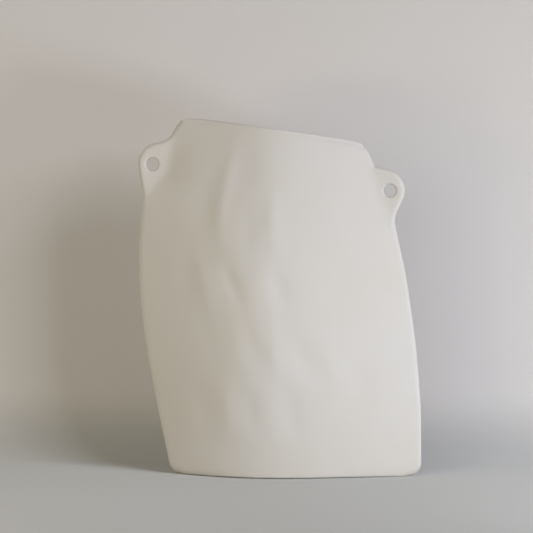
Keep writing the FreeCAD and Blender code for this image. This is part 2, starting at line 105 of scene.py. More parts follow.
# Marks of the potter's hands: place across (-1 left seam, 1 right seam), height, half width and
# half length as shares of the half width and the height, lean to the right going down, and share of
# the press depth. A mark of less than nothing is clay that stayed proud between two presses.
FRONT_PRESS_SHARES = [
    (-0.50, 0.78, 0.08, 0.09, 0.00, 0.24),
    (-0.18, 0.88, 0.11, 0.06, 0.00, 0.33),
    (-0.14, 0.71, 0.07, 0.07, 0.00, 0.35),
    (-0.27, 0.56, 0.06, 0.06, 0.76, 0.47),
    (0.08, 0.55, 0.07, 0.06, 0.25, 0.69),
    (-0.18, 0.39, 0.07, 0.06, 0.38, 0.38),
    (0.18, 0.36, 0.09, 0.06, 0.50, 0.51),
    (-0.64, 0.20, 0.08, 0.07, 0.00, 0.24),
    (-0.26, 0.20, 0.07, 0.06, 0.00, 0.32),
    (0.04, 0.20, 0.09, 0.07, 0.00, 0.69),
    (0.58, 0.29, 0.10, 0.06, 0.00, 0.46),
    (-0.63, 0.57, 0.08, 0.06, 0.00, 0.18),
    (-0.48, 0.38, 0.06, 0.05, 0.50, 0.15),
    (-0.35, 0.80, 0.06, 0.12, 0.00, -0.45),
    (-0.48, 0.56, 0.07, 0.07, 0.51, -0.37),
    (-0.44, 0.20, 0.07, 0.07, 0.00, -0.30),
    (-0.02, 0.37, 0.06, 0.06, 0.00, -0.40),
    (0.06, 0.75, 0.07, 0.08, 0.00, -0.60),
    (-0.10, 0.54, 0.06, 0.05, 0.51, -0.07),
    (0.38, 0.33, 0.07, 0.06, 0.50, -0.36),
]
BACK_PRESS_SHARES = [
    (0.36, 0.70, 0.13, 0.14, 0.10, 0.45),
    (-0.12, 0.60, 0.12, 0.12, -0.05, 0.40),
    (0.40, 0.38, 0.12, 0.11, -0.20, 0.50),
    (-0.30, 0.30, 0.12, 0.09, 0.10, 0.35),
    (0.05, 0.18, 0.11, 0.08, 0.05, 0.35),
]

# Net of the walls
ROWS_PER_RANK = 8
FLANK_COLUMNS = 44
EDGE_STEPS = 7
LIP_STEPS = 6
FOOT_ROW_SHARES = (0.0, 0.014, 0.055, 0.12, 0.21, 0.33, 0.48, 0.68, 0.86)
BASE_STEPS = 16
# How far in the steps round a rounded edge lie, as shares of its radius
EDGE_INSETS = 1 - np.cos(math.pi / 2 * np.arange(EDGE_STEPS + 1) / EDGE_STEPS)
# The lip's section: 1 is a half circle, less is squarer
LIP_SQUARENESS = 0.35
# Rise of the lip at the very ends of the mouth, as a share of its rise in the middle
LIP_END_SHARE = 0.25
# How far the base slab's underside stands clear of the ground
BASE_LIFT = 0.4 * MM

# Net of the lugs: the spacing of its points, and the room left inside the rounded edges and beside
# the root, as shares of that spacing
LUG_SPACING = 1.1 * MM
EDGE_ROOM = 0.7
ROOT_ROOM = 0.6
HOLE_POINTS = 40
# A face whose middle lies within this share of the hole's radius is left out
HOLE_SHARE = 0.999
# Over how many radii beyond its own rounding a lug's face gives way to the slab
LUG_FADE = 2
# Points on an arc before it is evened out, and steps of the search for where an arc meets the seam
ROUND_STEPS = 24
SEARCH_STEPS = 160
# A step from an outline that tells on which side of it the clay lies
PROBE = 0.1 * MM

# Two places closer together than this are one, and a net's places come back rounded by less than
# the second
TOUCH = 1e-7
ROUNDING = 1e-6
# Points of a mesh closer together than this are welded into one
WELD = 0.002 * MM

# Finish of the fired clay: dry and matte, its grain shallow, its pinholes deeper. The pinholes are
# also painted darker, as painted shade in the pits; this is a pinhole's colour as a share of the
# clay's.
CLAY_IOR = 1.5
CLAY_ROUGHNESS = (0.82, 0.94)
GRAIN_DEPTH = 0.05 * MM
GRAIN_STRENGTH = 0.12
PINHOLE_STRENGTH = 0.6
PINHOLE_PAINTED_SHADE = 0.7

# Half width of the floor and height of the wall, and the thickness of the sheet that makes the wall
STAGE_REACH = 3.0
SHEET = 0.3 * MM
# Steps of the sheet's bend, and the height of a row that keeps the wall's shading even
BEND_STEPS = 25
WALL_ROW = 0.5
# Heights below which the floor's darker tone is full and above which the wall's is: the floor and
# the bend are painted darker than the wall, as painted shade for the lesser light low down. And the
# roughness of their paint
PAINTED_SHADE_FULL_HEIGHT = -15 * MM
PAINTED_SHADE_END_HEIGHT = 60 * MM
PAINT_ROUGHNESS = 0.9

# Soft boxes: name, degrees to the right of the front, degrees up, metres away, width and height,
# watts, the place that it shines on, and its colour
LAMPS = [
    ("window", 50, 22, 3.2, 1.4, 1.4, 40.3, (-0.02, 0, 0.14), "#F9F7FF"),
    ("low_window", 58, 6, 0.65, 0.3, 0.12, 1.8, (0.02, 0, 0.02), "#F2FBFF"),
    ("low_room", -42, 7, 0.7, 0.4, 0.12, 0.8, (-0.06, 0, 0.01), "#FFF3C8"),
    ("room_left", -42, 12, 2.2, 1.5, 1.5, 4.6, (-0.02, 0, 0.14), "#FFF1AA"),
    ("room_front", -18, 15, 2.4, 1.6, 1.6, 7.9, (-0.02, 0, 0.14), "#EEF2FF"),
]
# The weak light that comes from all round, and the tone in which the room is seen
ROOM_LIGHT = "#FFF1DC"
ROOM_STRENGTH = 0.08
ROOM_TONE = "#C4BFBA"

CAMERA_PLACE = Vector((108.8, -1596.3, 240)) * MM
CAMERA_TARGET = Vector((-22.83, 0, 163.25)) * MM
# The lens's length over the sensor's width
CAMERA_REACH = 3.853


def linear(code):
    """A colour written as sRGB hex, as the linear colour that the renderer works in."""
    values = [int(code[start : start + 2], 16) / 255 for start in (1, 3, 5)]
    return tuple(v / 12.92 if v <= 0.04045 else ((v + 0.055) / 1.055) ** 2.4 for v in values)


def length(name, words, size):
    return FloatProperty(name=name, description=words, default=size, min=0.0, unit="LENGTH")


def lean(name, words, degrees):
    angle = math.radians(degrees)
    return FloatProperty(name=name, description=words, default=angle, subtype="ANGLE")


def colour(name, words, code):
    return FloatVectorProperty(
        name=name, description=words, default=linear(code), subtype="COLOR", min=0, max=1
    )


class VaseSizes(bpy.types.PropertyGroup):
    """Sizes of the vase, as the potter would measure them."""

    left_rim: length("Left rim height", "Ground to the lip, left end of the mouth", 279 * MM)
    right_rim: length("Right rim height", "Ground to the lip, right end of the mouth", 259.8 * MM)
    left_reach: length("Left reach", "Middle of the foot to the far left", 123.2 * MM)
    right_reach: length("Right reach", "Middle of the foot to the far right", 98.3 * MM)
    foot_half: length("Foot half depth", "Seam plane to the front at the foot", 26 * MM)
    belly_half: length("Belly half depth", "Seam plane to the front at its fullest", 38.3 * MM)
    mouth_half: length("Mouth half depth", "Seam plane to the front at the lip", 22 * MM)
    wall: length("Wall", "Thickness of the rolled slabs", 6 * MM)
    base: length("Base", "Thickness of the base slab", 8 * MM)
    rim_bow: length("Rim bow", "Rise of the rim over a straight line between its ends", 1.2 * MM)
    rim_bow_reach: length("Rim bow reach", "How far down that bow is felt", 60 * MM)
    lip_corner: length("Lip corner", "How far in from its ends the lip rounds off", 11 * MM)
    seam_width: length("Seam width", "How far in the two slabs are pinched together", 9 * MM)
    foot_fill: length("Foot fill", "How high the seam stays filled out at the foot", 50 * MM)
    seam_edge: length("Seam edge", "Rounding of the pinched side edges", 3 * MM)
    left_corner: length("Left foot corner", "Rounding of the outline at the foot, left", 8 * MM)
    right_corner: length("Right foot corner", "Rounding of the outline at the foot, right", 11 * MM)
    foot_edge: length("Foot edge", "Rounding where the wall meets the ground", 1.6 * MM)
    foot_bevel: length("Foot bevel", "How far in the foot is bevelled under its edge", 3.2 * MM)
    foot_bevel_rise: length("Foot bevel height", "Height of that bevel", 1.2 * MM)
    press: length("Press depth", "Depth of a hand mark of share 1", 2.2 * MM)


class LugSizes(bpy.types.PropertyGroup):
    """Sizes of the two pierced lugs."""

    radius: length("Lug radius", "Rounding of the lug's outline", 16.8 * MM)
    half: length("Half thickness", "Seam plane to the face of the lug", 4 * MM)
    edge: length("Edge", "Rounding of the lug's outer edge", 3.3 * MM)
    hole: length("Hole radius", "Radius of the hole through the lug", 4.9 * MM)
    hole_edge: length("Hole edge", "Rounding of the hole's edges", 1.7 * MM)
    hole_reach: length("Hole reach", "Seam's edge to the middle of the hole", 8.4 * MM)
    hole_rise: length("Hole rise", "Shoulder point to the middle of the hole", 2 * MM)
    hole_offset: length("Hole offset", "Middle of the lug's rounding to the hole", 5.2 * MM)
    top_lean: lean("Top lean", "Rise of the lug's top edge towards the neck", 14)
    left_low_lean: lean("Left lower lean", "Lean of the left lug's lower edge from upright", 10)
    right_low_lean: lean("Right lower lean", "Lean of the right lug's lower edge from upright", 25)
    left_top_blend: length("Left top blend", "Hollow between left lug and neck", 14 * MM)
    right_top_blend: length("Right top blend", "Hollow between right lug and neck", 3 * MM)
    left_low_blend: length("Left lower blend", "Hollow between left lug and body", 50 * MM)
    right_low_blend: length("Right lower blend", "Hollow between right lug and body", 19 * MM)
    left_root_press: length("Left root press", "Depth at the left lug's root", 2.2 * MM)
    right_root_press: length("Right root press", "Depth at the right lug's root", 0.3 * MM)
    root_reach: length("Root reach", "How far the press at a root spreads", 11 * MM)
    soft: length("Softness", "Difference of depth over which lug and flank flow together", 1.8 * MM)


class ClayLook(bpy.types.PropertyGroup):
    """Colours and grain of the unglazed clay."""

    clay: colour("Clay", "Fired white clay", "#DBD8D8")
    flushed: colour("Flushed clay", "The warmer tone where the kiln's fire licked it", "#D8D3CC")
    # Too fine for the photograph to show, so this width is a guess, coarse enough to show close up
    grain: length("Grain", "Width of the grains that make the clay matte", 0.5 * MM)
    flush: length("Flushing", "Width of the patches of warmer tone", 60 * MM)
    pinhole: length("Pinhole", "Radius of a pinhole where air came out of the clay", 0.7 * MM)
    pinhole_spacing: length("Pinhole spacing", "Usual distance between pinholes", 30 * MM)


class StageLook(bpy.types.PropertyGroup):
    """The plain floor, wall and light that the vase is seen in."""

    # The floor's colour is darker and cooler than the wall's: painted shade for the lesser light
    # that falls on the floor
    floor: colour("Floor", "Pale grey floor", "#B7B8B8")
    backdrop: colour("Wall", "Pale warm wall", "#E5E2E1")
    wall_distance: length("Wall distance", "Seam plane to the wall behind the vase", 100 * MM)
    bend: length("Bend", "Radius where the floor turns up into the wall", 45 * MM)


class Batten:
    """A smooth curve through places of the seam plane, as a bent batten takes it, read by rank."""

    def __init__(self, places):
        self.places = np.array(places, dtype=float)
        p = self.places
        ties = np.eye(len(p))
        pulls = np.empty_like(p)
        for rank in range(1, len(p) - 1):
            ties[rank, rank - 1 : rank + 2] = 1, 4, 1
            pulls[rank] = 3 * (p[rank + 1] - p[rank - 1])
        pulls[0] = (4 * p[1] - 3 * p[0] - p[2]) / 2
        pulls[-1] = (3 * p[-1] - 4 * p[-2] + p[-3]) / 2
        self.slopes = np.linalg.solve(ties, pulls)

    def at(self, rank):
        rank = np.asarray(rank, dtype=float)
        start = np.clip(np.floor(rank).astype(int), 0, len(self.places) - 2)
        t = (rank - start)[..., None]
        low, high = self.places[start], self.places[start + 1]
        out, into = self.slopes[start], self.slopes[start + 1]
        place = low * (2 * t**3 - 3 * t**2 + 1) + high * (3 * t**2 - 2 * t**3)
        return place + out * (t**3 - 2 * t**2 + t) + into * (t**3 - t**2)

    def way(self, rank):
        """The unit direction along the curve."""
        rank = float(rank)
        start = min(max(int(rank), 0), len(self.places) - 2)
        t = rank - start
        run = self.places[start + 1] - self.places[start]
        slope = self.slopes[start] * (3 * t**2 - 4 * t + 1)
        slope = slope + self.slopes[start + 1] * (3 * t**2 - 2 * t) + run * (6 * t - 6 * t**2)
        return slope / np.hypot(*slope)


def rounded_inset(radius, height):
    """How far a rounded corner lies inside its sharp corner at a height above the ground."""
    below = np.clip(radius - height, 0, radius)
    return radius - np.sqrt(radius**2 - below**2)


def quarter_round(distance, radius):
    """Share of the full depth at a distance inside a rounded edge."""
    return np.sqrt(1 - (1 - np.clip(distance / radius, 0, 1)) ** 2)


def soft_step(share):
    share = np.clip(share, 0, 1)
    return share**2 * (3 - 2 * share)


def flowing(one, other, softness):
    """The greater of two depths, with a soft hollow where they meet."""
    near = np.clip(softness - np.abs(one - other), 0, None) / softness
    return np.maximum(one, other) + near**2 * softness / 4


def gap_to(places, line):
    """Least distance from each place to a line of points."""
    starts, ends = line[:-1], line[1:]
    runs = ends - starts
    lengths = np.maximum((runs**2).sum(axis=1), TOUCH**2)
    gaps = np.empty(len(places))
    batch = 2000
    for first in range(0, len(places), batch):
        part = places[first : first + batch, None]
        share = np.clip(((part - starts) * runs).sum(axis=2) / lengths, 0, 1)
        nearest = starts + share[..., None] * runs
        gaps[first : first + batch] = np.sqrt(((part - nearest) ** 2).sum(axis=2).min(axis=1))
    return gaps


def arc_points(centre, start, end, count):
    """Points on the shorter arc round a centre, from start to end."""
    first = math.atan2(*(start - centre)[::-1])
    turn = (math.atan2(*(end - centre)[::-1]) - first + math.pi) % math.tau - math.pi
    radius = np.hypot(*(start - centre))
    angles = first + turn * np.linspace(0, 1, count)
    return centre + radius * np.stack([np.cos(angles), np.sin(angles)], axis=1)


def evenly(line, spacing):
    """The same line with points at an even spacing, ends kept."""
    steps = np.hypot(*np.diff(line, axis=0).T)
    along = np.concatenate([[0], np.cumsum(steps)])
    count = max(2, round(along[-1] / spacing) + 1)
    places = np.linspace(0, along[-1], count)
    return np.stack([np.interp(places, along, line[:, axis]) for axis in (0, 1)], axis=1)


class Form:
    """The form of the vase's body: its side seams, its depth and the marks of the hands."""

    def __init__(self, sizes, lugs):
        self.sizes = sizes
        self.lug_sizes = lugs
        self.lip_rise = sizes.wall / 2
        self.heights = (sizes.left_rim - self.lip_rise, sizes.right_rim - self.lip_rise)
        reaches = (-sizes.left_reach, sizes.right_reach)
        tables = (LEFT_SEAM_SHARES, RIGHT_SEAM_SHARES)
        self.seams = [self.batten(*side) for side in zip(tables, reaches, self.heights)]
        evened = [self.evened(table) for table in tables]
        self.flanks = [self.batten(*side) for side in zip(evened, reaches, self.heights)]
        self.lugs = (Lug(self, 0), Lug(self, 1))
        self.ranks = self.row_ranks()
        self.outlines = [self.outline(side) for side in (0, 1)]

    @staticmethod
    def batten(shares, reach, height):
        return Batten([(reach * across, height * up) for across, up in shares])

    @staticmethod
    def evened(shares):
        """A seam without its notch under the lug."""
        waist, neck = np.array(shares[WAIST_RANK]), np.array(shares[NECK_RANK])
        places = [np.array(place) for place in shares]
        for rank in range(WAIST_RANK + 1, NECK_RANK):
            places[rank] = waist + (neck - waist) * (rank - WAIST_RANK) / (NECK_RANK - WAIST_RANK)
        return places

    def bow(self, middle, half, across):
        """Places of a section at shares across it. Near the lip its middle bows up."""
        below = self.heights[0] - middle[..., 1] + half[..., 1]
        near_lip = soft_step(1 - below / self.sizes.rim_bow_reach)
        places = middle[..., None, :] + half[..., None, :] * across[..., None]
        places[..., 1] += (self.sizes.rim_bow * near_lip)[..., None] * (1 - across**4)
        return places

    def edges(self, rank, battens):
        """The left and the right end of a section, with the foot's rounded corners."""
        ends = [batten.at(rank) for batten in battens]
        corners = (self.sizes.left_corner, self.sizes.right_corner)
        for end, out, radius in zip(ends, (-1, 1), corners):
            end[..., 0] -= out * rounded_inset(radius, end[..., 1])
        return ends

    def section(self, rank, battens):
        """Middle and half of a section, from seam to seam."""
        left, right = self.edges(rank, battens)
        return (left + right) / 2, (right - left) / 2

    def hollow_section(self, rank):
        """Middle and half of the hollow, which narrows towards the foot."""
        left, right = [seam.at(rank) for seam in self.seams]
        filled = np.clip(1 - left[..., 1] / self.sizes.foot_fill, 0, None) ** 2
        left[..., 0] += self.sizes.seam_width + filled * self.sizes.left_corner
        right[..., 0] -= self.sizes.seam_width + filled * self.sizes.right_corner
        return (left + right) / 2, (right - left) / 2

    def row_ranks(self):
        """Ranks of the net's rows: close together at the foot, and one at each end of a lug."""
        corner = max(self.sizes.left_corner, self.sizes.right_corner)
        start = corner / self.seams[0].at(1)[1]
        foot = start * np.array(FOOT_ROW_SHARES)
        kept = [rank for lug in self.lugs for rank in (lug.low_rank, lug.top_rank)]
        even = np.linspace(start, LAST_RANK, ROWS_PER_RANK * LAST_RANK + 1)
        clear = min(np.diff(even)) / 2
        even = [rank for rank in even if min(abs(rank - other) for other in kept) > clear]
        return np.array(sorted([*foot, *even, *kept]))

    def outline(self, side):
        """The outline on one side, from the foot to the lip, round the lug."""
        lug = self.lugs[side]
        below = self.ranks[self.ranks < lug.low_rank]
        above = self.ranks[self.ranks > lug.top_rank]
        lower, upper = [self.edges(ranks, self.seams)[side] for ranks in (below, above)]
        return np.concatenate([lower, lug.path, upper])

    def half_depth(self, rank):
        """Seam plane to the middle of the front: full at the belly, drawn in to foot and mouth."""
        share = np.clip(self.flanks[0].at(rank)[..., 1] / self.heights[0], 0, 1)
        sizes = self.sizes
        belly = BELLY_HEIGHT_SHARE
        low = (sizes.belly_half - sizes.foot_half) * (1 - np.sin(math.pi / 2 * share / belly))
        rise = (share - belly) / (1 - belly)
        high = (sizes.belly_half - sizes.mouth_half) * (1 - np.cos(math.pi / 2 * rise))
        return sizes.belly_half - np.where(share < belly, low, high)

    def crown(self, across, rank):
        """Height of a slab's section, 0 at the seams and 1 at its rounded ridge."""
        share = self.flanks[0].at(rank)[..., 1] / self.heights[0]
        narrowed = soft_step(share / BELLY_HEIGHT_SHARE)
        turn = FOOT_RIDGE_SHARE + (RIDGE_SHARE - FOOT_RIDGE_SHARE) * narrowed
        shift = FOOT_SHIFT_SHARE + (LIP_SHIFT_SHARE - FOOT_SHIFT_SHARE) * share
        shifted = across + shift * (1 - across**2)
        flat = np.sqrt(1 + turn**2) - turn
        return 1 - (np.sqrt(shifted**2 + turn**2) - turn) / flat

    def pressed(self, across, rank, marks):
        """Depth of the hand marks."""
        left, right = [flank.at(rank)[..., 1] for flank in self.flanks]
        height = (left + right) / sum(self.heights)
        depth = np.zeros_like(across)
        for mark_across, mark_up, half_width, half_length, slant, deep in marks:
            up = height - mark_up
            beside = (across - mark_across + slant * up) / half_width
            depth += deep * np.exp(-((up / half_length) ** 2) - beside**2)
        fade = np.clip((1 - np.abs(across)) / RIDGE_SHARE, 0, 1)
        return self.sizes.press * depth * fade

    def rank_of(self, places):
        """The rank of the section, from flank to flank, that passes through each place."""
        low = np.full(len(places), -1.0)
        high = np.full(len(places), LAST_RANK + 1.0)
        halvings = 40
        for _ in range(halvings):
            middle = (low + high) / 2
            left, right = [flank.at(middle) for flank in self.flanks]
            run, offset = right - left, places - left
            above = run[:, 0] * offset[:, 1] - run[:, 1] * offset[:, 0] > 0
            low = np.where(above, middle, low)
            high = np.where(above, high, middle)
        return (low + high) / 2

    def face_depth(self, places, marks):
        """Seam plane to the face of slab and lug, before their edges are rounded."""
        ranks = self.rank_of(places)
        middle, half = self.section(ranks, self.flanks)
        across = (places[:, 0] - middle[:, 0]) / half[:, 0]
        edge = self.sizes.seam_edge
        foot = rounded_inset(self.sizes.foot_edge, places[:, 1])
        foot += self.sizes.foot_bevel * soft_step(1 - places[:, 1] / self.sizes.foot_bevel_rise)
        depth = edge + (self.half_depth(ranks) - edge - foot) * self.crown(across, ranks)
        depth -= self.pressed(across, ranks, marks)
        for lug in self.lugs:
            away = np.hypot(*(places - lug.hole).T)
            depth -= self.root_press(places, lug)
            fall = soft_step((away / lug.sizes.radius - 1) / LUG_FADE) * lug.sizes.half
            depth = flowing(depth, lug.sizes.half - fall, lug.sizes.soft)
        return depth

    @staticmethod
    def root_press(places, lug):
        """Depth to which the fingers pressed the clay round a lug's root."""
        away = places - lug.root
        return lug.press * np.exp(-(away**2).sum(axis=1) / (2 * lug.sizes.root_reach**2))

    def skin_depth(self, places, marks, gaps):
        """Seam plane to the outside, with the side edges rounded."""
        face = self.face_depth(places, marks)
        radius = np.clip(face, self.sizes.seam_edge, self.lug_sizes.edge)
        return face * quarter_round(gaps, radius)


class Lug:
    """One pierced ear: its outline from the seam below it to the seam above it, and its hole."""

    def __init__(self, form, side):
        self.sizes = sizes = form.lug_sizes
        seam = form.seams[side]
        self.out = (-1, 1)[side]
        shoulder = seam.at(SHOULDER_RANK)
        self.root = shoulder
        self.press = (sizes.left_root_press, sizes.right_root_press)[side]
        self.hole = shoulder + (self.out * sizes.hole_reach, sizes.hole_rise)
        self.centre = self.hole - (self.out * sizes.hole_offset, 0)
        low_lean = (sizes.left_low_lean, sizes.right_low_lean)[side]
        top_way = np.array([-self.out * math.cos(sizes.top_lean), math.sin(sizes.top_lean)])
        low_way = np.array([-self.out * math.sin(low_lean), -math.cos(low_lean)])
        top_air = np.array([self.out * math.sin(sizes.top_lean), math.cos(sizes.top_lean)])
        low_air = np.array([self.out * math.cos(low_lean), -math.sin(low_lean)])
        top_start = self.centre + top_air * sizes.radius
        low_start = self.centre + low_air * sizes.radius
        top_radius = (sizes.left_top_blend, sizes.right_top_blend)[side]
        low_radius = (sizes.left_low_blend, sizes.right_low_blend)[side]
        up = (SHOULDER_RANK, LAST_RANK)
        down = (SHOULDER_RANK, 0)
        self.top_rank, top_arc = self.blend(seam, top_start, top_way, top_air, top_radius, up)
        self.low_rank, low_arc = self.blend(seam, low_start, low_way, low_air, low_radius, down)
        tip = self.centre + (self.out * sizes.radius, 0)
        lower_end = arc_points(self.centre, low_start, tip, ROUND_STEPS)
        upper_end = arc_points(self.centre, tip, top_start, ROUND_STEPS)
        line = np.concatenate([low_arc[::-1], lower_end, upper_end[1:], top_arc])
        self.path = evenly(line, LUG_SPACING)

    def blend(self, seam, start, way, air, radius, ranks):
        """The arc that rounds the hollow between a straight edge of the lug and the seam: the rank
        where it meets the seam, and its points from the lug to the seam."""

        def centre_at(rank):
            along = seam.way(rank)
            outwards = self.out * np.array([along[1], -along[0]])
            return seam.at(rank) + outwards * radius

        def clear(rank):
            return (centre_at(rank) - start) @ air - radius

        near, far = ranks
        tries = np.linspace(near, far, SEARCH_STEPS)
        beyond = next(i for i in range(1, len(tries)) if clear(tries[i - 1]) < 0 <= clear(tries[i]))
        low, high = tries[beyond - 1], tries[beyond]
        for _ in range(SEARCH_STEPS // 4):
            middle = (low + high) / 2
            low, high = (middle, high) if clear(middle) < 0 else (low, middle)
        centre = centre_at(high)
        touch = start + way * ((centre - start) @ way)
        return high, arc_points(centre, touch, seam.at(high), ROUND_STEPS)


def column_places(half_width, edge):
    """Places across a section, from -1 to 1: close together round the rounded edges, then even."""
    side = list(1 - edge * EDGE_INSETS[:-1] / half_width)
    inner = 1 - edge / half_width
    side += [inner * (1 - column / FLANK_COLUMNS) for column in range(FLANK_COLUMNS)]
    return np.array([-place for place in side] + [0.0] + side[::-1])


def in_space(places, depths):
    """Places of the seam plane with a depth along Y, as points in space."""
    return np.stack([places[..., 0], depths, places[..., 1]], axis=-1)


class Wall:
    """One slab as rows of points: up the outside, over the lip and down the inside."""

    def __init__(self, form, facing, marks):
        self.form = form
        ranks = form.ranks
        middle, half = form.section(ranks, form.seams)
        hollow_middle, hollow_half = form.hollow_section(ranks)
        widths = np.hypot(*half.T)
        across = np.array([column_places(width, form.sizes.seam_edge) for width in widths])
        shape = across.shape
        outer = form.bow(middle, half, across).reshape(-1, 2)
        flat = across.reshape(-1)
        left = flat < 0
        gaps = np.empty(len(outer))
        for chosen, line in ((left, form.outlines[0]), (~left, form.outlines[1])):
            gaps[chosen] = gap_to(outer[chosen], line)
        depths = form.skin_depth(outer, marks, gaps).reshape(shape)
        for lug, column in zip(form.lugs, (0, -1)):
            beside_lug = (ranks > lug.low_rank + TOUCH) & (ranks < lug.top_rank - TOUCH)
            depths[~beside_lug, column] = 0
        outer = outer.reshape(*shape, 2)
        inner = form.bow(hollow_middle, hollow_half, across)
        levels = form.rank_of(inner.reshape(-1, 2))
        inside = (form.half_depth(levels) - form.sizes.wall) * form.crown(flat, levels)
        inside -= form.pressed(flat, levels, marks)
        inside = np.clip(inside, 0, None).reshape(shape)
        inside[:, (0, -1)] = 0
        self.outer = in_space(outer, facing * depths)
        self.inner = in_space(inner, facing * inside)
        self.rows = np.concatenate([self.outer, self.lip(), self.inner[::-1]])

    def lip(self):
        """Rows round the lip, from the outside over the crest to the inside."""
        outer, inner = self.outer[-1], self.inner[-1]
        middle = (outer + inner) / 2
        turned = math.pi * np.arange(1, 2 * LIP_STEPS) / (2 * LIP_STEPS)
        ends = np.minimum(outer[:, 0] - outer[0, 0], outer[-1, 0] - outer[:, 0])
        rise = LIP_END_SHARE + (1 - LIP_END_SHARE) * quarter_round(ends, self.form.sizes.lip_corner)
        lift = rise[:, None] * (0, 0, self.form.lip_rise)
        out = np.sign(np.cos(turned)) * np.abs(np.cos(turned)) ** LIP_SQUARENESS
        up = np.sin(turned) ** LIP_SQUARENESS
        return np.array([middle + (outer - middle) * a + lift * b for a, b in zip(out, up)])


def add_net(bm, rows, joint=False):
    """Faces between rows of points. Joint faces lie hidden, where two pieces are luted together."""
    layer = bm.faces.layers.int.get("joint") or bm.faces.layers.int.new("joint")
    verts = [[bm.verts.new(point) for point in row] for row in rows]
    for low, high in zip(verts, verts[1:]):
        for a, b, c, d in zip(low, low[1:], high[1:], high):
            bm.faces.new((a, b, c, d))[layer] = int(joint)


def place_object(name, data):
    """A new object in the scene."""
    piece = bpy.data.objects.new(name, data)
    bpy.context.scene.collection.objects.link(piece)
    return piece


def make_object(bm, name, material):
    """A smooth object in the scene from the faces in bm."""
    mesh = bpy.data.meshes.new(name)
    bm.to_mesh(mesh)
    bm.free()
    mesh.materials.append(material)
    mesh.shade_smooth()
    return place_object(name, mesh)


def finish_piece(bm, name, node, material):
    """Welds faces that meet into a closed piece, which takes the place of its CAD node."""
    bmesh.ops.remove_doubles(bm, verts=bm.verts, dist=WELD)
    bmesh.ops.dissolve_degenerate(bm, dist=WELD, edges=bm.edges)
    loose = [vert for vert in bm.verts if not vert.link_faces]
    bmesh.ops.delete(bm, geom=loose, context="VERTS")
    bmesh.ops.recalc_face_normals(bm, faces=bm.faces)
    piece = make_object(bm, name, material)
    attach(piece, "root")
    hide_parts(node)
    return piece


def make_wall(form, facing, marks, name, node, material):
    """A slab of the vase as a closed piece: its skin, the pinched seam faces and the foot."""
    wall = Wall(form, facing, marks)
    bm = bmesh.new()
    add_net(bm, wall.rows)
    for column in (0, -1):
        outer, inner = wall.outer[:, column], wall.inner[:, column]
        seam = outer * (1, 0, 1)
        add_net(bm, [outer, seam], joint=True)
        add_net(bm, [seam, inner], joint=True)
    top = len(wall.outer)
    for column in (0, -1):
        ends = wall.rows[top - 1 : top + 2 * LIP_STEPS, column]
        foot = (ends[0] + ends[-1]) / 2
        add_net(bm, [ends, np.repeat(foot[None], len(ends), axis=0)], joint=True)
    add_net(bm, [wall.outer[0], wall.inner[0]], joint=True)
    return finish_piece(bm, name, node, material)


def make_base(form, name, node, material):
    """The base slab, trimmed to the walls, with a little clay worked into the corner round it."""
    sizes = form.sizes
    ranks = np.array([0.0, form.rank_of(np.array([[0.0, sizes.base]]))[0]])
    fronts = []
    for rank in ranks:
        middle, half = form.hollow_section(rank)
        across = np.linspace(-1, 1, 2 * FLANK_COLUMNS + 1)
        level = np.full_like(across, rank)
        depth = (form.half_depth(rank) - sizes.wall) * form.crown(across, level)
        depth -= form.pressed(across, level, FRONT_PRESS_SHARES)
        places = middle + half * across[:, None]
        fronts.append(in_space(places, np.clip(depth, 0, None)))
    under, top = fronts
    under[:, 2] = BASE_LIFT
    cross = np.linspace(-1, 1, BASE_STEPS + 1)
    bottom, upper = [np.array([edge * (1, share, 1) for share in cross]) for edge in (under, top)]
    near_wall = np.clip(1 - (1 - np.abs(cross))[:, None] * top[:, 1] / sizes.base, 0, 1)
    upper[..., 2] = sizes.base - BASE_LIFT * (1 - near_wall**2)
    bm = bmesh.new()
    add_net(bm, upper)
    add_net(bm, bottom)
    for end in (0, -1):
        add_net(bm, [bottom[end], upper[end]], joint=True)
    for end in (0, -1):
        add_net(bm, [bottom[:, end], upper[:, end]], joint=True)
    return finish_piece(bm, name, node, material)


def inside_line(places, line):
    """True where a place lies inside a closed line."""
    x, z = places[:, 0, None], places[:, 1, None]
    ax, az = line[:, 0], line[:, 1]
    bx, bz = np.roll(ax, -1), np.roll(az, -1)
    spans = (az > z) != (bz > z)
    rise = np.where(bz == az, 1, bz - az)
    return (spans & (x < ax + (z - az) * (bx - ax) / rise)).sum(axis=1) % 2 == 1


def lug_places(lug, border, root):
    """Places on a lug's face inside its border: rings along the rounded edge, and an even fill."""
    sizes = lug.sizes
    path = lug.path[1:-1]
    along = np.gradient(lug.path, axis=0)[1:-1]
    along /= np.hypot(*along.T)[:, None]
    inwards = lug.out * np.stack([-along[:, 1], along[:, 0]], axis=1)
    inwards = np.where(inside_line(path + inwards * PROBE, border)[:, None], inwards, -inwards)
    rings = [path + inwards * inset for inset in sizes.edge * EDGE_INSETS[1:]]
    steps = [np.arange(*ends, LUG_SPACING) for ends in zip(border.min(axis=0), border.max(axis=0))]
    fill = np.stack(np.meshgrid(*steps), axis=-1).reshape(-1, 2)
    room = LUG_SPACING * EDGE_ROOM
    fill = fill[np.hypot(*(fill - lug.hole).T) > sizes.hole + sizes.hole_edge + room]
    fill = fill[gap_to(fill, lug.path) > sizes.edge + room]
    places = np.concatenate([*rings, fill])
    places = places[gap_to(places, root) > LUG_SPACING * ROOT_ROOM]
    return places[inside_line(places, border)]


